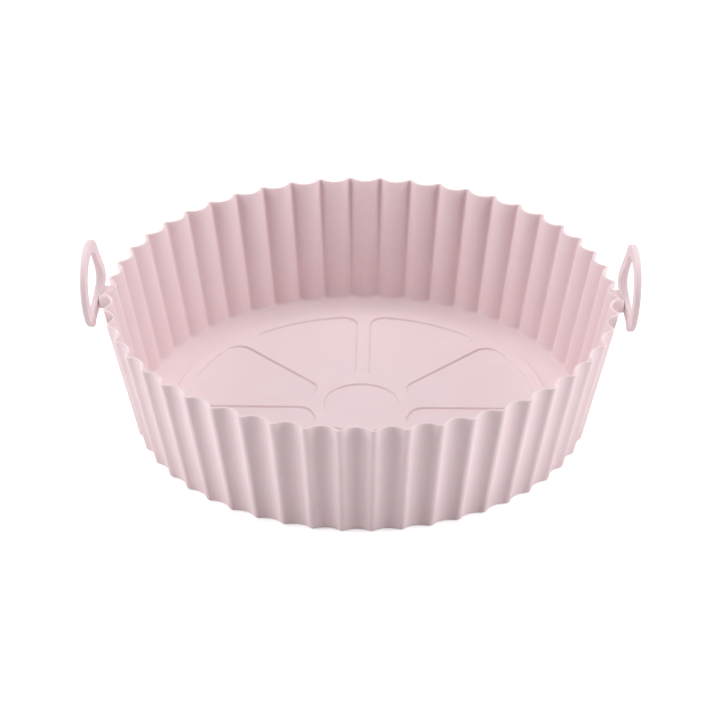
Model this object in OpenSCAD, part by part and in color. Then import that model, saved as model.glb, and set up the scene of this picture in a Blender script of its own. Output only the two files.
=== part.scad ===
// Round silicone liner for a fryer basket: a shallow tray with a pleated wall,
// a wheel of low ribs on its floor and a ring handle at each side.
// Millimetres, +Z up, origin at the centre of the base.

/* [Tray] */
// Diameter over the ridge tips at the rim
rim_d = 200; // [170:1:230]
// Height of the wall from the base to the rim
height = 51; // [40:1:65]
// Angle by which the wall flares outwards
draft = 12.6; // [6:0.2:18]
// Thickness of the wall
wall = 1.5; // [1.2:0.1:1.7]
// Thickness of the floor between the ribs
floor_t = 1.2; // [0.8:0.1:2.5]
// Rounding where the wall meets the base, outside
base_round = 1; // [0.4:0.1:1.6]
// Rounding where the wall meets the floor, inside
foot_round = 1.4; // [0.6:0.1:3]

/* [Pleats] */
// Number of pleats round the wall
pleats = 50; // [40:2:56]
// Depth of the pleats at the rim
rim_depth = 3.1; // [2.4:0.1:4]
// Depth of the pleats at the base
base_depth = 1.8; // [1.2:0.1:2.6]
// Rounding radius of the ridges, outside
ridge_round = 2; // [1.9:0.1:2.6]

/* [Floor ribs] */
// Height of the ribs above the floor
rib_h = 0.8; // [0.4:0.1:2]
// Number of spokes
spokes = 8; // [5:1:10]
// Width of a spoke
spoke_w = 5.2; // [3:0.1:8]
// Inner diameter of the ring round the hub
hub_d = 30; // [20:0.5:50]
// Width of the ring round the hub
hub_ring_w = 5.4; // [3:0.1:8]
// Width of the outer ring
outer_ring_w = 5; // [3:0.1:9]
// Flat band between the outer ring and the wall
floor_band = 11.3; // [4:0.1:20]
// Rounding of the panel corners between the ribs
panel_round = 6; // [2:0.1:6.5]

/* [Handles] */
// Outer diameter of a handle ring
ring_d = 33.6; // [30:0.1:44]
// Width of the ring's band, along the radius
ring_w = 4; // [3:0.1:6]
// Thickness of the ring, across its flat faces
ring_t = 3.1; // [2.6:0.1:5]
// Rounding of the ring's edges
ring_round = 1.2; // [0.4:0.1:1.2]
// Angle by which the top of the ring leans outwards
ring_lean = 4.5; // [0:0.1:8]
// Angle by which the front of the ring swings outwards
ring_swing = 3.4; // [0:0.1:8]
// Angle from the lowest point of the ring back to where it is joined on
ring_tip = 42; // [30:1:50]
// Width of the pad that joins the ring to the rim
pad_w = 12; // [9:0.5:16]
// Height of that pad
pad_h = 4; // [3:0.1:4.6]
// How far the pad stands proud of the ridges
pad_proud = 0.9; // [0.5:0.1:2]

/* [Hidden] */

$fn = 96;
silicone = "#f0d5d8";

// Radii of the wall over the ridge tips
rim_r = rim_d / 2;
base_r = rim_r - height * tan(draft);
// The wall's thickness measured level, as its outlines are
wall_x = wall / cos(draft);
lip_r = wall_x / 2;
half_pitch = 180 / pleats;

// Points on each half of a ridge and of a valley
ridge_steps = 2;
valley_steps = 2;
pleat_points = 2 * (ridge_steps + valley_steps);
lip_steps = 4;
foot_steps = 2;

// The inner foot of the wall is a fillet that flattens the pleats a little
foot_depth = base_depth * 0.7;
foot_r = base_r - wall_x - base_depth;
outer_ring_r = foot_r - floor_band;
hub_r = hub_d / 2;
hub_ring_r = hub_r + hub_ring_w;

// The pad's place on the rim: below the lip, and centred a little behind the ridge
pad_drop = 0.3;
pad_shift = 1;
pad_bite = wall_x - 0.3;
pad_round = 1.5;

// The ring's place on the pad: its gap to the ridges and its drop below the rim
join_gap = 0.2;
join_drop = 1.7;

// One pleat is a ridge circle that runs tangent into two valley circles
function valley_r(r, depth, round_r) =
    let (a = r - round_r, b = r - depth, c = cos(half_pitch))
    (a * a + b * b - 2 * a * b * c - round_r * round_r) / (2 * (a * c + round_r - b));

function joint_angle(r, depth, round_r) =
    let (far = r - depth + valley_r(r, depth, round_r))
    atan2(far * sin(half_pitch), far * cos(half_pitch) - (r - round_r));

// A half pleat from the ridge tip to the valley, as [x, y] about the axis
function half_pleat(r, depth, round_r) =
    let (
        v = valley_r(r, depth, round_r),
        turn = joint_angle(r, depth, round_r),
        far = r - depth + v
    )
    concat(
        [for (i = [0:ridge_steps])
            let (t = turn * i / ridge_steps)
            [r - round_r + round_r * cos(t), round_r * sin(t)]],
        [for (i = [1:valley_steps])
            let (t = 180 + turn + (half_pitch - turn) * i / valley_steps)
            [far * cos(half_pitch) + v * cos(t), far * sin(half_pitch) + v * sin(t)]]
    );

function turned(p, angle) =
    [p[0] * cos(angle) - p[1] * sin(angle), p[0] * sin(angle) + p[1] * cos(angle)];

// The whole pleated outline, level at height z
function outline(r, depth, round_r, z) =
    let (
        half = half_pleat(r, depth, round_r),
        last = len(half) - 1,
        pleat = concat(
            half,
            [for (i = [last - 1:-1:1]) turned([half[i][0], -half[i][1]], 2 * half_pitch)]
        )
    )
    [for (k = [0:pleats - 1], p = pleat)
        let (q = turned(p, 2 * half_pitch * k))
        [q[0], q[1], z]];

// An outline of the wall at height z, set in from the outer face by inset
function wall_outline(z, inset) =
    let (share = z / height)
    outline(
        base_r + (rim_r - base_r) * share - inset,
        base_depth + (rim_depth - base_depth) * share,
        ridge_round - inset,
        z
    );

// The floor fillet: from the inner face of the wall down to the floor
function foot_outline(angle) =
    let (
        z = floor_t + foot_round * (1 - sin(angle)),
        r = base_r + z * tan(draft) - wall_x,
        flat = 1 - cos(angle)
    )
    outline(
        r - foot_round * flat,
        base_depth + (foot_depth - base_depth) * flat,
        ridge_round - wall_x,
        z
    );

shell_rings = concat(
    [wall_outline(0, base_round)],
    [wall_outline(base_round * (1 - cos(45)), base_round * (1 - sin(45)))],
    [wall_outline(base_round, 0)],
    [for (i = [0:lip_steps])
        let (t = 180 * i / lip_steps)
        wall_outline(height - lip_r + lip_r * sin(t), lip_r * (1 - cos(t)))],
    [for (i = [0:foot_steps]) foot_outline(90 * i / foot_steps)]
);

// Skin over a stack of rings with equal numbers of points, closed at both ends
module skin(rings) {
    n = len(rings[0]);
    last = len(rings) - 1;
    points = concat(
        [for (ring = rings, p = ring) p],
        [[0, 0, rings[0][0][2]], [0, 0, rings[last][0][2]]]
    );
    low = n * (last + 1);
    sides = [for (i = [0:last - 1], k = [0:n - 1])
        let (m = (k + 1) % n)
        each [
            [i * n + k, (i + 1) * n + k, (i + 1) * n + m],
            [i * n + k, (i + 1) * n + m, i * n + m]
        ]];
    first_cap = [for (k = [0:n - 1]) [low, k, (k + 1) % n]];
    last_cap = [for (k = [0:n - 1]) [low + 1, last * n + (k + 1) % n, last * n + k]];
    polyhedron(points, concat(sides, first_cap, last_cap));
}

module shell() {
    skin(shell_rings);
}

// Plan of one sunken panel between two spokes, with its four corners rounded
module panel() {
    sector = 360 / spokes;
    outer_r = outer_ring_r - outer_ring_w - panel_round;
    inner_r = hub_ring_r + panel_round;
    edge = spoke_w / 2 + panel_round;
    outer_a = asin(edge / outer_r);
    inner_a = asin(edge / inner_r);
    steps = 12;
    function corner(r, a, from, to) = [for (i = [0:steps])
        let (t = from + (to - from) * i / steps)
        [r * cos(a) + panel_round * cos(t), r * sin(a) + panel_round * sin(t)]];
    function arc(r, from, to) = [for (i = [1:steps - 1])
        let (t = from + (to - from) * i / steps)
        [r * cos(t), r * sin(t)]];
    polygon(concat(
        corner(outer_r, outer_a, -90, outer_a),
        arc(outer_r + panel_round, outer_a, sector - outer_a),
        corner(outer_r, sector - outer_a, sector - outer_a, sector + 90),
        corner(inner_r, sector - inner_a, sector + 90, 180 + sector - inner_a),
        arc(inner_r - panel_round, sector - inner_a, inner_a),
        corner(inner_r, inner_a, 180 + inner_a, 270)
    ));
}

// Wheel of flat ribs that stands on the floor
module rib_wheel() {
    sunk = floor_t / 2;
    translate([0, 0, floor_t - sunk])
        linear_extrude(rib_h + sunk)
            difference() {
                circle(outer_ring_r);
                circle(hub_r);
                for (i = [0:spokes - 1])
                    rotate(360 * i / spokes) panel();
            }
}

// Rectangle with round corners, about its centre
module round_rect(w, h, r) {
    square([w, h - 2 * r], center = true);
    square([w - 2 * r, h], center = true);
    for (x = [-1, 1], y = [-1, 1])
        translate([x * (w / 2 - r), y * (h / 2 - r)]) circle(r, $fn = 32);
}

// Handle ring, joined to the rim at the origin and rising to the front
module handle_ring() {
    mean_r = (ring_d - ring_w) / 2;
    rotate([0, 0, ring_swing])
        rotate([0, ring_lean, 0])
            translate([0, -mean_r * sin(ring_tip), mean_r * cos(ring_tip)])
                rotate([0, 90, 0])
                    rotate_extrude()
                        translate([mean_r, 0]) round_rect(ring_w, ring_t, ring_round);
}

// Plan of the pad: its inner edge follows the pleats inside the wall
module pad_plan() {
    rim = wall_outline(height, pad_bite);
    span = 2 * pleat_points;
    inside = [for (i = [-span:span])
        let (p = rim[(i + len(rim)) % len(rim)])
        [p[0], p[1]]];
    depth = rim_depth + wall_x + pad_proud;
    difference() {
        translate([rim_r + pad_proud - depth / 2, pad_shift])
            round_rect(depth, pad_w, pad_round);
        polygon(concat([[0, 0]], inside));
    }
}

// Pad that joins the ring to the rim
module pad() {
    translate([0, 0, height - pad_drop - pad_h])
        linear_extrude(pad_h) pad_plan();
}

module handle() {
    pad();
    translate([rim_r + join_gap + ring_t / 2, pad_shift, height - join_drop])
        handle_ring();
}

module liner() {
    color(silicone)
        union() {
            shell();
            rib_wheel();
            handle();
            mirror([1, 0, 0]) handle();
        }
}

liner();
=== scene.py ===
import math

import bmesh
import bpy
from mathutils import Matrix, Vector


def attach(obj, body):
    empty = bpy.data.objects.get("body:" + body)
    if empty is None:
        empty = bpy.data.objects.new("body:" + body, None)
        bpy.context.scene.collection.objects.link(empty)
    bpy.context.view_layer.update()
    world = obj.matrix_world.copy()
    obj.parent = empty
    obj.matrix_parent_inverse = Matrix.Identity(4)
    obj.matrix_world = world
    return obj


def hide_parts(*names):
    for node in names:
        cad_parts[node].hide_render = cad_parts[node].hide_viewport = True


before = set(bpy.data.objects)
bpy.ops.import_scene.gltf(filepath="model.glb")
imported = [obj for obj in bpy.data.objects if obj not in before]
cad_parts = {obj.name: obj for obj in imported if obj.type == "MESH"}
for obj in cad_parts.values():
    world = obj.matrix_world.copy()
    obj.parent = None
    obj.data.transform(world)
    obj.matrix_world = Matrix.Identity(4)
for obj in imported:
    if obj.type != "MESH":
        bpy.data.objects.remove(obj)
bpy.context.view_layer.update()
scene = bpy.context.scene
mm = 0.001
sameLevel = 0.02 * mm         # points nearer in height than this lie on one level
white = (1, 1, 1, 1)


def linearColour(hexCode, alpha=1.0):
    channels = [int(hexCode[i:i + 2], 16) / 255 for i in (1, 3, 5)]
    return [c / 12.92 if c <= 0.04045 else ((c + 0.055) / 1.055) ** 2.4 for c in channels] + [alpha]


def addNode(tree, kind, links=None, **settings):
    node = tree.nodes.new(kind)
    for name, value in settings.items():
        setattr(node, name, value)
    for key, source in (links or {}).items():
        if isinstance(source, bpy.types.NodeSocket):
            tree.links.new(source, node.inputs[key])
        else:
            node.inputs[key].default_value = source
    return node


def newObject(name, mesh):
    obj = bpy.data.objects.new(name, mesh)
    scene.collection.objects.link(obj)
    return obj


def evaluatedMesh(obj):
    bpy.context.view_layer.update()
    depsgraph = bpy.context.evaluated_depsgraph_get()
    return bpy.data.meshes.new_from_object(obj.evaluated_get(depsgraph))


# The view that the tray was photographed from

cameraView = {
    "lens": 152.3,            # mm, on a sensor 36 mm wide
    "sensor": 36.0,
    "azimuth": 0.947,         # degrees round the tray, towards +X
    "elevation": 29.42,
    "distance": 1179.1,       # mm from the middle of the rim
    "rimHeight": 51.0,
    "rimAt": (361.22, 295.05),    # where the middle of the rim falls in the picture
    "pictureSize": 720,
    "roll": 0.05,
    "clip": (0.01, 50),       # m
}


def makeCamera(view):
    data = bpy.data.cameras.new("camera")
    data.lens = view["lens"]
    data.sensor_width = view["sensor"]
    data.clip_start, data.clip_end = view["clip"]
    azimuth = math.radians(view["azimuth"])
    elevation = math.radians(view["elevation"])
    outward = Vector((
        math.sin(azimuth) * math.cos(elevation),
        -math.cos(azimuth) * math.cos(elevation),
        math.sin(elevation),
    ))
    right = Vector((math.cos(azimuth), math.sin(azimuth), 0))
    up = outward.cross(right)
    half = view["pictureSize"] / 2
    focal = view["pictureSize"] * view["lens"] / view["sensor"]
    yaw = Matrix.Rotation(math.atan((view["rimAt"][0] - half) / focal), 3, up)
    right = yaw @ right
    pitch = Matrix.Rotation(-math.atan((half - view["rimAt"][1]) / focal), 3, right)
    back = pitch @ yaw @ outward
    up = pitch @ up
    roll = Matrix.Rotation(math.radians(view["roll"]), 3, back)
    right, up = roll @ right, roll @ up
    camera = newObject("camera", data)
    place = Vector((0, 0, view["rimHeight"])) + outward * view["distance"]
    turn = Matrix((right, up, back)).transposed()
    camera.matrix_world = Matrix.Translation(place * mm) @ turn.to_4x4()
    scene.camera = camera


makeCamera(cameraView)
print("camera placed")


# The tray's form, in millimetres: a pleated wall, moulded in one with its floor

tray = {
    "rimRadius": 99.93,       # over the ridge tips
    "height": 51.0,
    "draft": 12.6,            # degrees of flare
    "wall": 0.95,
    "floor": 1.2,
    "baseRound": 1.0,
    "footRound": 0.9,
    "pleats": 50,
    "pointsPerPleat": 18,
    "ridgeShare": 0.36,       # share of a half pleat's points that lie on the ridge
    "rimDepth": 3.1,
    "baseDepth": 1.8,
    "ridgeRound": 2.0,
    "creaseRound": 0.95,      # least radius behind a ridge, inside the wall
    "footCircle": 0.8,        # share of the base's pleat depth where they run out round the floor
    "footFlat": 0.3,          # share of the pleats that is gone at the end of the foot's rounding
    "floorFlat": ((0.6, 0.6), (1.0, 2.5)),    # from there: share gone, and how far in
    "underInset": 0.5,        # from the base's rounding in to the last pleated row under it
    "underCircles": (7.0, 4.0),               # plain circles under the base, in from its valleys
    "baseSteps": 5,
    "wallSteps": 10,
    "lipSteps": 8,
    "footSteps": 6,
    "seamMerge": 0.005,       # points of the sweep nearer than this are one
    "sharpFrom": 50.0,        # degrees between two faces
}

ribs = {
    "height": 0.8,
    "edge": 0.58,             # level width of a rib's sloping side
    "lead": 0.35,             # flat run before and after it, as a share of that width
    "spokes": 8,
    "spokeWidth": 5.2,
    "hubRadius": 15.0,
    "hubRing": 5.4,
    "outerRing": 5.0,
    "band": 11.8,             # flat floor between the outer ring and the wall
    "panelRound": 6.0,
    "rows": 9,
    "cornerSteps": 12,
    "outerSteps": 24,
    "innerSteps": 8,
    "hubSteps": 120,
    "outerGap": 0.01,         # radians between an arc's end and its corner
    "innerGap": 0.02,
    "seamMerge": 0.002,       # points of a step nearer than this are one
}

wallLevel = tray["wall"] / math.cos(math.radians(tray["draft"]))
baseRadius = tray["rimRadius"] - tray["height"] * math.tan(math.radians(tray["draft"]))
wheelRadius = baseRadius - wallLevel - tray["baseDepth"] - ribs["band"]


def ribSide(row):
    # one point of a rib's side: how far across it, and how high; flat at both ends
    reach = -ribs["lead"] + (1 + 2 * ribs["lead"]) * row / ribs["rows"]
    t = min(max(reach, 0), 1)
    return (reach - 0.5) * ribs["edge"], ribs["height"] * t * t * (3 - 2 * t)


def sectionRows():
    # each row: level, inset from the outer face, blend to a circle, that circle's radius
    rows = []
    base, lip, foot = tray["baseRound"], wallLevel / 2, tray["footRound"]
    valleys = baseRadius - tray["baseDepth"]
    flatRadius = valleys - tray["underCircles"][-1]
    for inward in tray["underCircles"]:
        rows.append((0, base + tray["underInset"], 1.0, valleys - inward))
    rows.append((0, base + tray["underInset"], 0.0, flatRadius))
    for i in range(tray["baseSteps"] + 1):
        t = math.pi / 2 * i / tray["baseSteps"]
        rows.append((base * (1 - math.cos(t)), base * (1 - math.sin(t)), 0.0, flatRadius))
    top = tray["height"] - lip
    for i in range(1, tray["wallSteps"]):
        rows.append((base + (top - base) * i / tray["wallSteps"], 0.0, 0.0, flatRadius))
    for i in range(tray["lipSteps"] + 1):
        t = math.pi * i / tray["lipSteps"]
        rows.append((top + lip * math.sin(t), lip * (1 - math.cos(t)), 0.0, flatRadius))
    footTop = tray["floor"] + foot
    for i in range(tray["wallSteps"] - 1, 0, -1):
        rows.append((footTop + (top - footTop) * i / tray["wallSteps"], wallLevel, 0.0, flatRadius))
    footDraft = foot * math.tan(math.radians(tray["draft"]))
    footCircle = baseRadius - wallLevel - foot - tray["baseDepth"] * tray["footCircle"]
    for i in range(tray["footSteps"] + 1):
        t = math.pi / 2 * i / tray["footSteps"]
        turned = 1 - math.cos(t)
        rows.append((
            footTop - foot * math.sin(t), wallLevel + (foot - footDraft) * turned,
            tray["footFlat"] * turned, footCircle,
        ))
    for flat, inward in tray["floorFlat"]:
        rows.append((tray["floor"], wallLevel + foot, flat, footCircle - inward))
    for row in range(ribs["rows"] + 1):
        across, up = ribSide(row)
        rows.append((tray["floor"] + up, wallLevel, 1.0, wheelRadius - across))
    return rows


# Each step of the pleat's outline: name, operation and the values that it works on.
# A ridge circle about (ridgeAt, 0) runs tangent into a valley circle about the ray half a pitch on.
pleatSteps = [
    ("heightShare", "DIVIDE", "level", "Height"),
    ("flare", "SUBTRACT", "Rim radius", "Base radius"),
    ("outer", "MULTIPLY_ADD", "flare", "heightShare", "Base radius"),
    ("tip", "SUBTRACT", "outer", "inset"),
    ("deepening", "SUBTRACT", "Rim depth", "Base depth"),
    ("depth", "MULTIPLY_ADD", "deepening", "heightShare", "Base depth"),
    ("roundLeft", "SUBTRACT", "Ridge round", "inset"),
    ("ridge", "MAXIMUM", "roundLeft", "Least round"),
    ("halfPitch", "DIVIDE", math.pi, "Pleats"),
    ("cosine", "COSINE", "halfPitch"),
    ("sine", "SINE", "halfPitch"),
    ("ridgeAt", "SUBTRACT", "tip", "ridge"),
    ("bottom", "SUBTRACT", "tip", "depth"),
    ("ridgeAtSquared", "MULTIPLY", "ridgeAt", "ridgeAt"),
    ("squares", "MULTIPLY_ADD", "bottom", "bottom", "ridgeAtSquared"),
    ("product", "MULTIPLY", "ridgeAt", "bottom"),
    ("productCosine", "MULTIPLY", "product", "cosine"),
    ("twiceProduct", "MULTIPLY", "productCosine", 2.0),
    ("gapSquared", "SUBTRACT", "squares", "twiceProduct"),
    ("ridgeSquared", "MULTIPLY", "ridge", "ridge"),
    ("over", "SUBTRACT", "gapSquared", "ridgeSquared"),
    ("reach", "MULTIPLY_ADD", "ridgeAt", "cosine", "ridge"),
    ("under", "SUBTRACT", "reach", "bottom"),
    ("twiceUnder", "MULTIPLY", "under", 2.0),
    ("valley", "DIVIDE", "over", "twiceUnder"),
    ("valleyAt", "ADD", "bottom", "valley"),
    ("valleyX", "MULTIPLY", "valleyAt", "cosine"),
    ("valleyY", "MULTIPLY", "valleyAt", "sine"),
    ("joinX", "SUBTRACT", "valleyX", "ridgeAt"),
    ("joinAngle", "ARCTAN2", "valleyY", "joinX"),
    # where this column lies: its nearest ridge, and how far from there to the valley
    ("pleatPlace", "DIVIDE", "column", "Points per pleat"),
    ("ridgeNumber", "ROUND", "pleatPlace"),
    ("offRidge", "SUBTRACT", "pleatPlace", "ridgeNumber"),
    ("side", "SIGN", "offRidge"),
    ("offRidgeSize", "ABSOLUTE", "offRidge"),
    ("along", "MULTIPLY", "offRidgeSize", 2.0),
    ("onRidgeShare", "DIVIDE", "along", "Ridge share"),
    ("ridgeTurn", "MULTIPLY", "onRidgeShare", "joinAngle"),
    ("ridgeCos", "COSINE", "ridgeTurn"),
    ("ridgeSin", "SINE", "ridgeTurn"),
    ("ridgeX", "MULTIPLY_ADD", "ridge", "ridgeCos", "ridgeAt"),
    ("ridgeY", "MULTIPLY", "ridge", "ridgeSin"),
    ("pastRidge", "SUBTRACT", "along", "Ridge share"),
    ("valleyPart", "SUBTRACT", 1.0, "Ridge share"),
    ("onValleyShare", "DIVIDE", "pastRidge", "valleyPart"),
    ("valleySwing", "SUBTRACT", "halfPitch", "joinAngle"),
    ("valleyStart", "ADD", "joinAngle", math.pi),
    ("valleyTurn", "MULTIPLY_ADD", "valleySwing", "onValleyShare", "valleyStart"),
    ("valleyCos", "COSINE", "valleyTurn"),
    ("valleySin", "SINE", "valleyTurn"),
    ("hollowX", "MULTIPLY_ADD", "valley", "valleyCos", "valleyX"),
    ("hollowY", "MULTIPLY_ADD", "valley", "valleySin", "valleyY"),
    ("inValley", "GREATER_THAN", "along", "Ridge share"),
    ("stepX", "SUBTRACT", "hollowX", "ridgeX"),
    ("stepY", "SUBTRACT", "hollowY", "ridgeY"),
    ("localX", "MULTIPLY_ADD", "stepX", "inValley", "ridgeX"),
    ("halfY", "MULTIPLY_ADD", "stepY", "inValley", "ridgeY"),
    ("localY", "MULTIPLY", "halfY", "side"),
    # turned to its own ridge
    ("pitch", "MULTIPLY", "halfPitch", 2.0),
    ("ridgeAngle", "MULTIPLY", "ridgeNumber", "pitch"),
    ("turnCos", "COSINE", "ridgeAngle"),
    ("turnSin", "SINE", "ridgeAngle"),
    ("xByCos", "MULTIPLY", "localX", "turnCos"),
    ("yBySin", "MULTIPLY", "localY", "turnSin"),
    ("pleatX", "SUBTRACT", "xByCos", "yBySin"),
    ("yByCos", "MULTIPLY", "localY", "turnCos"),
    ("pleatY", "MULTIPLY_ADD", "localX", "turnSin", "yByCos"),
    # blended to a plain circle on the floor and under the base
    ("evenAngle", "MULTIPLY", "pleatPlace", "pitch"),
    ("evenCos", "COSINE", "evenAngle"),
    ("evenSin", "SINE", "evenAngle"),
    ("circleX", "MULTIPLY", "circle", "evenCos"),
    ("circleY", "MULTIPLY", "circle", "evenSin"),
    ("toCircleX", "SUBTRACT", "circleX", "pleatX"),
    ("toCircleY", "SUBTRACT", "circleY", "pleatY"),
    ("x", "MULTIPLY_ADD", "toCircleX", "flat", "pleatX"),
    ("y", "MULTIPLY_ADD", "toCircleY", "flat", "pleatY"),
]

pleatInputs = [
    ("Pleats", "NodeSocketInt", tray["pleats"]),
    ("Points per pleat", "NodeSocketInt", tray["pointsPerPleat"]),
    ("Ridge share", "NodeSocketFloat", tray["ridgeShare"]),
    ("Rim radius", "NodeSocketFloat", tray["rimRadius"] * mm),
    ("Base radius", "NodeSocketFloat", baseRadius * mm),
    ("Height", "NodeSocketFloat", tray["height"] * mm),
    ("Rim depth", "NodeSocketFloat", tray["rimDepth"] * mm),
    ("Base depth", "NodeSocketFloat", tray["baseDepth"] * mm),
    ("Ridge round", "NodeSocketFloat", tray["ridgeRound"] * mm),
    ("Least round", "NodeSocketFloat", tray["creaseRound"] * mm),
]


def startTree(name, formName, inputs):
    # a tree that takes a form and named sizes, and gives back a form
    tree = bpy.data.node_groups.new(name, "GeometryNodeTree")
    tree.interface.new_socket(formName, in_out="INPUT", socket_type="NodeSocketGeometry")
    for label, kind, value in inputs:
        socket = tree.interface.new_socket(label, in_out="INPUT", socket_type=kind)
        socket.default_value = value
    tree.interface.new_socket("Form", in_out="OUTPUT", socket_type="NodeSocketGeometry")
    given = addNode(tree, "NodeGroupInput")
    return tree, {socket.name: socket for socket in given.outputs if socket.name}


def endTree(tree, form, material):
    real = addNode(tree, "GeometryNodeRealizeInstances", {"Geometry": form})
    finished = addNode(tree, "GeometryNodeSetMaterial", {
        "Geometry": real.outputs[0], "Material": material})
    addNode(tree, "NodeGroupOutput", {0: finished.outputs[0]})
    return tree


def pleatTree(material):
    # sweeps the section's rows round the axis, each along its own pleated outline
    tree, values = startTree("pleatedSweep", "Section", pleatInputs)
    section = values["Section"]
    columns = addNode(tree, "ShaderNodeMath", {
        0: values["Pleats"], 1: values["Points per pleat"]}, operation="MULTIPLY").outputs[0]
    columnsShut = addNode(tree, "ShaderNodeMath", {
        0: columns, 1: 1.0}, operation="ADD").outputs[0]
    size = addNode(tree, "GeometryNodeAttributeDomainSize", {0: section}, component="MESH")
    grid = addNode(tree, "GeometryNodeMeshGrid", {
        "Vertices X": size.outputs["Point Count"], "Vertices Y": columnsShut})
    index = addNode(tree, "GeometryNodeInputIndex").outputs[0]
    rowPlace = addNode(tree, "ShaderNodeMath", {
        0: index, 1: columnsShut}, operation="DIVIDE").outputs[0]
    row = addNode(tree, "ShaderNodeMath", {0: rowPlace}, operation="FLOOR").outputs[0]
    before = addNode(tree, "ShaderNodeMath", {
        0: row, 1: columnsShut}, operation="MULTIPLY").outputs[0]
    values["column"] = addNode(tree, "ShaderNodeMath", {
        0: index, 1: before}, operation="SUBTRACT").outputs[0]
    for name in ("level", "inset", "flat", "circle"):
        stored = addNode(tree, "GeometryNodeInputNamedAttribute", {"Name": name}, data_type="FLOAT")
        values[name] = addNode(tree, "GeometryNodeSampleIndex", {
            "Geometry": section, "Value": stored.outputs[0], "Index": row,
        }, data_type="FLOAT", domain="POINT").outputs[0]
    for name, operation, *operands in pleatSteps:
        links = {i: values.get(o, o) for i, o in enumerate(operands)}
        values[name] = addNode(tree, "ShaderNodeMath", links, operation=operation).outputs[0]
    place = addNode(tree, "ShaderNodeCombineXYZ", {
        0: values["x"], 1: values["y"], 2: values["level"]})
    shaped = addNode(tree, "GeometryNodeSetPosition", {
        "Geometry": grid.outputs["Mesh"], "Position": place.outputs[0]})
    shut = addNode(tree, "GeometryNodeMergeByDistance", {
        "Geometry": shaped.outputs[0], "Distance": tray["seamMerge"] * mm})
    return endTree(tree, shut.outputs[0], material)


def sweptForm(name, rows, tree):
    mesh = bpy.data.meshes.new(name)
    mesh.from_pydata([(0, 0, i * mm) for i in range(len(rows))],
                     [(i, i + 1) for i in range(len(rows) - 1)], [])
    columns = (("level", mm), ("inset", mm), ("flat", 1.0), ("circle", mm))
    for number, (label, scale) in enumerate(columns):
        store = mesh.attributes.new(label, "FLOAT", "POINT")
        store.data.foreach_set("value", [row[number] * scale for row in rows])
    section = newObject(name, mesh)
    sweep = section.modifiers.new("sweep", "NODES")
    sweep.node_group = tree
    result = evaluatedMesh(section)
    bpy.data.objects.remove(section)
    return result


def openLoops(bm, level):
    # the edges of one face only that lie at this height
    return [e for e in bm.edges if len(e.link_faces) == 1
            and all(abs(v.co.z - level) < sameLevel for v in e.verts)]


# The rib wheel on the floor: eight sunken panels and the hub, each inside a rounded step

def panelOutline():
    # one panel about the +X spoke's left side: points with the direction out of the panel
    sector = 2 * math.pi / ribs["spokes"]
    outerAt = wheelRadius - ribs["outerRing"] - ribs["panelRound"]
    innerAt = ribs["hubRadius"] + ribs["hubRing"] + ribs["panelRound"]
    edgeAt = ribs["spokeWidth"] / 2 + ribs["panelRound"]
    outerTurn = math.asin(edgeAt / outerAt)
    innerTurn = math.asin(edgeAt / innerAt)
    points = []

    def arc(centre, angle, radius, start, end, steps, facing=1):
        for i in range(steps + 1):
            t = start + (end - start) * i / steps
            points.append((
                Vector((centre * math.cos(angle) + radius * math.cos(t),
                        centre * math.sin(angle) + radius * math.sin(t), 0)),
                Vector((math.cos(t), math.sin(t), 0)) * facing,
            ))

    quarter, steps, corner = math.pi / 2, ribs["cornerSteps"], ribs["panelRound"]
    arc(outerAt, outerTurn, corner, -quarter, outerTurn, steps)
    arc(0, 0, outerAt + corner, outerTurn + ribs["outerGap"], sector - outerTurn - ribs["outerGap"],
        ribs["outerSteps"])
    arc(outerAt, sector - outerTurn, corner, sector - outerTurn, sector + quarter, steps)
    arc(innerAt, sector - innerTurn, corner, sector + quarter, math.pi + sector - innerTurn, steps)
    arc(0, 0, innerAt - corner, sector - innerTurn - ribs["innerGap"], innerTurn + ribs["innerGap"],
        ribs["innerSteps"], -1)
    arc(innerAt, innerTurn, corner, math.pi + innerTurn, 3 * quarter, steps)
    return points


def hubOutline():
    points = []
    for i in range(ribs["hubSteps"]):
        t = 2 * math.pi * i / ribs["hubSteps"]
        out = Vector((math.cos(t), math.sin(t), 0))
        points.append((out * ribs["hubRadius"], out))
    return points


stepInputs = [
    ("Copies", "NodeSocketInt", ribs["spokes"]),
    ("Rows", "NodeSocketInt", ribs["rows"]),
    ("Floor", "NodeSocketFloat", tray["floor"] * mm),
    ("Rib height", "NodeSocketFloat", ribs["height"] * mm),
    ("Edge width", "NodeSocketFloat", ribs["edge"] * mm),
]


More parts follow.
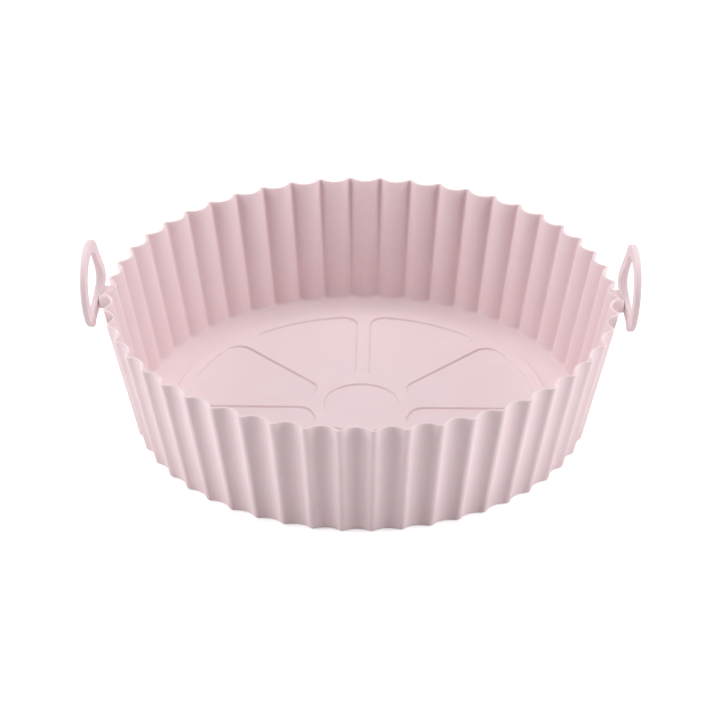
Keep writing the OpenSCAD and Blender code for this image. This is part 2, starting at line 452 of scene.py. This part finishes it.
def stepTree(material):
    # a rounded step along a closed outline, turned round the axis as many times as Copies says
    tree, given = startTree("roundedStep", "Outline", stepInputs)
    outline = given["Outline"]
    size = addNode(tree, "GeometryNodeAttributeDomainSize", {0: outline}, component="MESH")
    count = size.outputs["Point Count"]
    countShut = addNode(tree, "ShaderNodeMath", {0: count, 1: 1.0}, operation="ADD").outputs[0]
    rowsShut = addNode(tree, "ShaderNodeMath", {
        0: given["Rows"], 1: 1.0}, operation="ADD").outputs[0]
    grid = addNode(tree, "GeometryNodeMeshGrid", {"Vertices X": rowsShut, "Vertices Y": countShut})
    index = addNode(tree, "GeometryNodeInputIndex").outputs[0]
    place = addNode(tree, "ShaderNodeMath", {
        0: index, 1: countShut}, operation="DIVIDE").outputs[0]
    row = addNode(tree, "ShaderNodeMath", {0: place}, operation="FLOOR").outputs[0]
    column = addNode(tree, "ShaderNodeMath", {
        0: index, 1: countShut}, operation="FLOORED_MODULO").outputs[0]
    onOutline = addNode(tree, "ShaderNodeMath", {
        0: column, 1: count}, operation="FLOORED_MODULO").outputs[0]
    # how far over the step this row lies, and how high
    share = addNode(tree, "ShaderNodeMath", {
        0: row, 1: given["Rows"]}, operation="DIVIDE").outputs[0]
    reach = addNode(tree, "ShaderNodeMath", {
        0: share, 1: 1 + 2 * ribs["lead"], 2: -ribs["lead"]}, operation="MULTIPLY_ADD").outputs[0]
    rise = addNode(tree, "ShaderNodeMapRange", {
        "Value": reach, "To Max": given["Rib height"]}, interpolation_type="SMOOTHSTEP").outputs[0]
    level = addNode(tree, "ShaderNodeMath", {
        0: rise, 1: given["Floor"]}, operation="ADD").outputs[0]
    off = addNode(tree, "ShaderNodeMath", {0: reach, 1: 0.5}, operation="SUBTRACT").outputs[0]
    across = addNode(tree, "ShaderNodeMath", {
        0: off, 1: given["Edge width"]}, operation="MULTIPLY").outputs[0]
    # the outline's own point, moved outwards and up
    position = addNode(tree, "GeometryNodeInputPosition").outputs[0]
    stored = addNode(tree, "GeometryNodeInputNamedAttribute", {
        "Name": "outward"}, data_type="FLOAT_VECTOR").outputs[0]
    base, outward = [addNode(tree, "GeometryNodeSampleIndex", {
        "Geometry": outline, "Value": value, "Index": onOutline,
    }, data_type="FLOAT_VECTOR", domain="POINT").outputs[0] for value in (position, stored)]
    offset = addNode(tree, "ShaderNodeVectorMath", {
        0: outward, "Scale": across}, operation="SCALE").outputs[0]
    moved = addNode(tree, "ShaderNodeVectorMath", {0: base, 1: offset}, operation="ADD").outputs[0]
    raised = addNode(tree, "ShaderNodeCombineXYZ", {2: level}).outputs[0]
    final = addNode(tree, "ShaderNodeVectorMath", {0: moved, 1: raised}, operation="ADD").outputs[0]
    shaped = addNode(tree, "GeometryNodeSetPosition", {
        "Geometry": grid.outputs["Mesh"], "Position": final})
    shut = addNode(tree, "GeometryNodeMergeByDistance", {
        "Geometry": shaped.outputs[0], "Distance": ribs["seamMerge"] * mm})
    # one copy for each spoke
    spots = addNode(tree, "GeometryNodePoints", {"Count": given["Copies"]})
    pitch = addNode(tree, "ShaderNodeMath", {
        0: 2 * math.pi, 1: given["Copies"]}, operation="DIVIDE").outputs[0]
    turn = addNode(tree, "ShaderNodeMath", {0: index, 1: pitch}, operation="MULTIPLY").outputs[0]
    turned = addNode(tree, "ShaderNodeCombineXYZ", {2: turn}).outputs[0]
    copies = addNode(tree, "GeometryNodeInstanceOnPoints", {
        "Points": spots.outputs[0], "Instance": shut.outputs[0], "Rotation": turned})
    return endTree(tree, copies.outputs[0], material)


def stepForm(name, outline, tree, copies):
    mesh = bpy.data.meshes.new(name)
    mesh.from_pydata([point * mm for point, outward in outline], [], [])
    store = mesh.attributes.new("outward", "FLOAT_VECTOR", "POINT")
    store.data.foreach_set("vector", [c for point, outward in outline for c in outward])
    holder = newObject(name, mesh)
    step = holder.modifiers.new("step", "NODES")
    step.node_group = tree
    for item in tree.interface.items_tree:
        if item.name == "Copies":
            step[item.identifier] = copies
    result = evaluatedMesh(holder)
    bpy.data.objects.remove(holder)
    return result


def traySolid(silicone):
    sweep = pleatTree(silicone)
    step = stepTree(silicone)
    parts = [
        sweptForm("wall", sectionRows(), sweep),
        stepForm("panels", panelOutline(), step, ribs["spokes"]),
        stepForm("hub", hubOutline(), step, 1),
    ]
    bm = bmesh.new()
    for part in parts:
        bm.from_mesh(part)
        bpy.data.meshes.remove(part)
    base = openLoops(bm, 0)
    floor = openLoops(bm, tray["floor"] * mm)
    bmesh.ops.edgeloop_fill(bm, edges=base)
    bmesh.ops.edgeloop_fill(bm, edges=floor)
    wheel = openLoops(bm, (tray["floor"] + ribs["height"]) * mm)
    bmesh.ops.triangle_fill(
        bm, edges=wheel, use_beauty=True, use_dissolve=False, normal=(0, 0, 1))
    bmesh.ops.recalc_face_normals(bm, faces=bm.faces)
    mesh = bpy.data.meshes.new("traySolid")
    bm.to_mesh(mesh)
    bm.free()
    return mesh, sweep


# The ring handles, each on a pad that fills the valleys beside the rim's side ridge

handle = {
    "ringDiameter": 33.6,
    "band": 4.9,              # along the ring's radius
    "thickness": 2.4,         # across its flat faces
    "edgeRound": 0.6,
    "lean": 4.5,              # degrees, top outwards
    "swing": 5.0,             # degrees, front outwards
    "tip": 42.0,              # degrees from the ring's lowest point back to its pad
    "joinGap": 0.38,          # from the ridge tips to the ring's inner face
    "joinDrop": 1.7,          # from the rim down to where the ring is joined on
    # the soft ring hangs bent, and swells where its pad pulls at it: degrees round it from the
    # back, mm bent outwards, mm swollen towards the tray
    "bend": (
        (-170, 0.0, 0.0), (-112, 0.5, 0.0), (-88, 1.6, 0.0), (-68, 1.5, 0.0), (-48, 0.9, 0.3),
        (-22, -0.1, 1.0), (-10, -0.1, 0.75), (0, 0.0, 0.45), (10, 0.2, 0.05), (20, 0.4, -0.3),
        (36, 0.3, -0.2), (60, 0.0, 0.0), (190, 0.0, 0.0),
    ),
    "evenOut": 9,             # degrees to each side over which the bend is evened out
    "evenStep": 3,
    "ringSteps": 160,
    "cornerSteps": 6,
    "padWidth": 12.0,
    "padSlope": 3.0,          # how far the pad's front face leans back
    "padHeight": 4.0,
    "padDrop": 0.3,           # from the rim down to the pad's top
    "padShift": 1.0,          # from the side ridge back to the pad's middle
    "padProud": 1.7,          # past the ridge tips
    "padRound": 0.8,
    "padSteps": 4,
    "padBite": 0.7,           # how far into the wall the pad reaches
    "plugBelow": 10.0,        # the plug's ends, from the rim
    "plugAbove": 3.0,
    "joinMerge": 0.004,       # points nearer than this are one
}


def bendAt(angle):
    # even from each listed place to the next
    first = handle["bend"][0][0]
    angle = (angle - first) % 360 + first
    for (start, *low), (end, *high) in zip(handle["bend"], handle["bend"][1:]):
        if start <= angle <= end:
            t = (angle - start) / (end - start)
            return [a + (b - a) * t for a, b in zip(low, high)]
    return 0.0, 0.0


def ringMesh():
    # a round-cornered band swept round, standing in the YZ plane
    bm = bmesh.new()
    r = handle["edgeRound"]
    w = handle["band"] / 2 - r
    t = handle["thickness"] / 2 - r
    section = []
    for corner, (x, y) in enumerate(((w, t), (-w, t), (-w, -t), (w, -t))):
        for i in range(handle["cornerSteps"] + 1):
            a = math.pi / 2 * (corner + i / handle["cornerSteps"])
            section.append((x + r * math.cos(a), y + r * math.sin(a)))
    mean = (handle["ringDiameter"] - handle["band"]) / 2
    loops = []
    turns = range(-handle["evenOut"], handle["evenOut"] + 1, handle["evenStep"])
    for i in range(handle["ringSteps"]):
        a = 2 * math.pi * i / handle["ringSteps"]
        near = [bendAt(math.degrees(a) + turn) for turn in turns]
        out, swell = (sum(bend) / len(near) for bend in zip(*near))
        loops.append([bm.verts.new((
            (y + out - (swell if y < 0 else 0)) * mm,
            (mean + x) * math.cos(a) * mm, (mean + x) * math.sin(a) * mm)) for x, y in section])
    for i, loop in enumerate(loops):
        after = loops[(i + 1) % len(loops)]
        for j in range(len(section)):
            k = (j + 1) % len(section)
            bm.faces.new((loop[j], after[j], after[k], loop[k]))
    tip = math.radians(handle["tip"])
    place = Vector((
        tray["rimRadius"] + handle["joinGap"] + handle["thickness"] / 2,
        handle["padShift"],
        tray["height"] - handle["joinDrop"],
    ))
    lift = Vector((0, -mean * math.sin(tip), mean * math.cos(tip)))
    bm.transform(
        Matrix.Translation(place * mm)
        @ Matrix.Rotation(math.radians(handle["swing"]), 4, "Z")
        @ Matrix.Rotation(math.radians(handle["lean"]), 4, "Y")
        @ Matrix.Translation(lift * mm))
    return bm


def padMesh():
    bm = bmesh.new()
    depth = tray["rimDepth"] + wallLevel + handle["padProud"]
    low = Vector((
        tray["rimRadius"] + handle["padProud"] - depth,
        handle["padShift"] - handle["padWidth"] / 2,
        tray["height"] - handle["padDrop"] - handle["padHeight"],
    ))
    size = Vector((depth, handle["padWidth"], handle["padHeight"]))
    made = bmesh.ops.create_cube(bm, size=1.0)
    for v in made["verts"]:
        if v.co.z > 0 and v.co.y < 0:
            v.co.y += handle["padSlope"] / handle["padWidth"]
        v.co = (low + Vector([(c + 0.5) * s for c, s in zip(v.co, size)])) * mm
    edges = {e for v in made["verts"] for e in v.link_edges}
    bmesh.ops.bevel(bm, geom=list(edges), offset=handle["padRound"] * mm,
                    segments=handle["padSteps"], affect="EDGES", profile=0.5)
    return bm


def withModifier(obj, kind, **settings):
    # applies one modifier by taking the evaluated mesh
    modifier = obj.modifiers.new(kind, kind)
    for name, value in settings.items():
        setattr(modifier, name, value)
    old, obj.data = obj.data, evaluatedMesh(obj)
    obj.modifiers.clear()
    bpy.data.meshes.remove(old)


def plugSolid(sweep):
    # what lies inside the pad's bite: the pleated outline as a plug, to keep pads out of the bowl
    low, high = tray["height"] - handle["plugBelow"], tray["height"] + handle["plugAbove"]
    rows = [(level, handle["padBite"], 0.0, 0.0) for level in (low, high)]
    mesh = sweptForm("plug", rows, sweep)
    bm = bmesh.new()
    bm.from_mesh(mesh)
    bmesh.ops.edgeloop_fill(bm, edges=openLoops(bm, low * mm))
    bmesh.ops.edgeloop_fill(bm, edges=openLoops(bm, high * mm))
    bmesh.ops.recalc_face_normals(bm, faces=bm.faces)
    bm.to_mesh(mesh)
    bm.free()
    return mesh


def closedObject(name, bm):
    bmesh.ops.recalc_face_normals(bm, faces=bm.faces)
    mesh = bpy.data.meshes.new(name)
    bm.to_mesh(mesh)
    bm.free()
    return newObject(name, mesh)


def handleObject(plug):
    ring = closedObject("ring", ringMesh())
    pad = closedObject("pad", padMesh())
    withModifier(pad, "BOOLEAN", operation="DIFFERENCE", object=plug, solver="MANIFOLD")
    withModifier(ring, "BOOLEAN", operation="UNION", object=pad, solver="MANIFOLD")
    bpy.data.objects.remove(pad)
    return ring


def tidyMesh(mesh):
    # the slivers that the joins leave are closed up
    bm = bmesh.new()
    bm.from_mesh(mesh)
    bmesh.ops.remove_doubles(bm, verts=bm.verts, dist=handle["joinMerge"] * mm)
    bmesh.ops.dissolve_degenerate(bm, edges=bm.edges, dist=handle["joinMerge"] * mm)
    bmesh.ops.triangulate(bm, faces=bm.faces)
    bm.to_mesh(mesh)
    openEdges = sum(len(e.link_faces) != 2 for e in bm.edges)
    bm.free()
    print("edges not shared by two faces:", openEdges)


def makeLiner(silicone):
    mesh, sweep = traySolid(silicone)
    print("tray swept:", len(mesh.vertices), "points")
    liner = newObject("linerMoulding", mesh)
    plug = newObject("plug", plugSolid(sweep))
    right = handleObject(plug)
    left = newObject("handleLeft", right.data.copy())
    bm = bmesh.new()
    bm.from_mesh(left.data)
    bm.transform(Matrix.Scale(-1, 4, (1, 0, 0)))
    bmesh.ops.recalc_face_normals(bm, faces=bm.faces)
    bm.to_mesh(left.data)
    bm.free()
    print("handles shaped:", len(right.data.vertices), "points each")
    for ring in (right, left):
        withModifier(liner, "BOOLEAN", operation="UNION", object=ring, solver="MANIFOLD")
    for spare in (plug, right, left):
        bpy.data.objects.remove(spare)
    tidyMesh(liner.data)
    liner.data.materials.clear()
    liner.data.materials.append(silicone)
    for polygon in liner.data.polygons:
        polygon.use_smooth = True
        polygon.material_index = 0
    liner.data.set_sharp_from_angle(angle=math.radians(tray["sharpFrom"]))
    print("liner joined:", len(liner.data.polygons), "faces")
    return liner


# Pale pink food-grade silicone, compression moulded: matte with a soft satin bloom,
# a little light passes into it, and the mould's fine blasted texture just shows

siliconeLook = {
    "colour": "#ECD9DC",
    "colourDeep": "#E8D3D6",
    "mottle": 14.0,           # mm, slow change of tone and gloss
    "mottleDetail": 3.0,
    "roughness": 0.52,
    "glossSpread": 0.05,      # roughness more or less with the mottle
    "ior": 1.41,
    "grain": 0.35,            # mm, the mould's blasted texture, drawn coarser than it is
    "grainDetail": 2.0,
    "grainDepth": 0.012,      # mm
    "grainStrength": 0.5,
    "passing": 0.15,          # share of the light that passes in
    "passingReach": 2.0,      # mm
    "passingTint": (1.0, 0.55, 0.5),  # red reaches furthest
    "bloom": 0.12,            # powdery brightening towards the edges
    "bloomRoughness": 0.4,
}


def siliconeMaterial():
    look = siliconeLook
    material = bpy.data.materials.new("pinkSilicone")
    material.use_nodes = True
    tree = material.node_tree
    tree.nodes.clear()
    place = addNode(tree, "ShaderNodeTexCoord").outputs["Object"]
    mottle = addNode(tree, "ShaderNodeTexNoise", {
        "Vector": place, "Scale": 1 / (look["mottle"] * mm), "Detail": look["mottleDetail"],
    }).outputs[0]
    grain = addNode(tree, "ShaderNodeTexNoise", {
        "Vector": place, "Scale": 1 / (look["grain"] * mm), "Detail": look["grainDetail"],
    }).outputs[0]
    tone = addNode(tree, "ShaderNodeMix", {
        "Factor": mottle, "A": linearColour(look["colour"]), "B": linearColour(look["colourDeep"]),
    }, data_type="RGBA")
    gloss = addNode(tree, "ShaderNodeMapRange", {
        "Value": mottle, "To Min": look["roughness"] - look["glossSpread"],
        "To Max": look["roughness"] + look["glossSpread"],
    }).outputs[0]
    bump = addNode(tree, "ShaderNodeBump", {
        "Height": grain, "Strength": look["grainStrength"], "Distance": look["grainDepth"] * mm,
    }).outputs[0]
    shader = addNode(tree, "ShaderNodeBsdfPrincipled", {
        "Base Color": tone.outputs[2], "Roughness": gloss, "Normal": bump, "IOR": look["ior"],
        "Subsurface Weight": look["passing"], "Subsurface Radius": look["passingTint"],
        "Subsurface Scale": look["passingReach"] * mm,
        "Sheen Weight": look["bloom"], "Sheen Roughness": look["bloomRoughness"],
    })
    addNode(tree, "ShaderNodeOutputMaterial", {0: shader.outputs[0]})
    return material


silicone = siliconeMaterial()
liner = makeLiner(silicone)
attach(liner, "root")
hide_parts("liner")


# Plain studio: a white floor that keeps the shadow, and large soft lamps

studio = {
    "worldStrength": 0.13,
    # watts, metres
    "lamps": {
        "left": {"power": 11.0, "size": (0.75, 1.0), "place": (-1.155, -0.26, 0.44)},
        "right": {"power": 11.0, "size": (0.75, 1.0), "place": (1.155, -0.26, 0.44)},
        "top": {"power": 9.3, "size": (0.8, 0.8), "place": (0.0, 0.40, 1.2)},
    },
    "floorSize": 2.2,         # ends before the side lamps
    "floorLevel": -0.0001,    # a hair below the base, so that the two faces don't meet
    "floorColour": "#F4F4F4",
    "floorGlow": 0.5,         # for the camera alone, so that the floor shows white
}


def makeStudio(setup):
    world = bpy.data.worlds.new("studio")
    scene.world = world
    world.use_nodes = True
    tree = world.node_tree
    tree.nodes.clear()
    seen = addNode(tree, "ShaderNodeLightPath")
    plain = addNode(tree, "ShaderNodeBackground", {"Color": white, "Strength": 1.0})
    light = addNode(tree, "ShaderNodeBackground", {
        "Color": white, "Strength": setup["worldStrength"]})
    # the white sweep is seen by the camera and mirrored in the silicone, but lights it little
    mirrored = addNode(tree, "ShaderNodeMath", {
        0: seen.outputs["Is Camera Ray"], 1: seen.outputs["Is Glossy Ray"]}, operation="MAXIMUM")
    mixed = addNode(tree, "ShaderNodeMixShader", {
        0: mirrored.outputs[0], 1: light.outputs[0], 2: plain.outputs[0]})
    addNode(tree, "ShaderNodeOutputWorld", {0: mixed.outputs[0]})

    for name, lamp in setup["lamps"].items():
        data = bpy.data.lights.new(name, "AREA")
        data.energy = lamp["power"]
        data.shape = "RECTANGLE"
        data.size, data.size_y = lamp["size"]
        obj = newObject(name, data)
        obj.location = lamp["place"]
        obj.rotation_euler = (-Vector(lamp["place"])).to_track_quat("-Z", "Y").to_euler()

    # white background paper, uncoated: no gloss at all, so that only the shadow marks it
    floorMaterial = bpy.data.materials.new("whitePaperFloor")
    floorMaterial.use_nodes = True
    tree = floorMaterial.node_tree
    tree.nodes.clear()
    seen = addNode(tree, "ShaderNodeLightPath")
    matte = addNode(tree, "ShaderNodeBsdfDiffuse", {"Color": linearColour(setup["floorColour"])})
    lit = addNode(tree, "ShaderNodeEmission", {"Color": white, "Strength": setup["floorGlow"]})
    none = addNode(tree, "ShaderNodeEmission", {"Color": white, "Strength": 0.0})
    extra = addNode(tree, "ShaderNodeMixShader", {
        0: seen.outputs["Is Camera Ray"], 1: none.outputs[0], 2: lit.outputs[0]})
    both = addNode(tree, "ShaderNodeAddShader", {0: matte.outputs[0], 1: extra.outputs[0]})
    addNode(tree, "ShaderNodeOutputMaterial", {0: both.outputs[0]})
    half = setup["floorSize"] / 2
    signs = ((-1, -1), (1, -1), (1, 1), (-1, 1))
    corners = [(x * half, y * half, setup["floorLevel"]) for x, y in signs]
    mesh = bpy.data.meshes.new("floor")
    mesh.from_pydata(corners, [], [(0, 1, 2, 3)])
    mesh.materials.append(floorMaterial)
    floor = newObject("floor", mesh)


makeStudio(studio)
scene.view_settings.view_transform = "Standard"
print("studio lit")
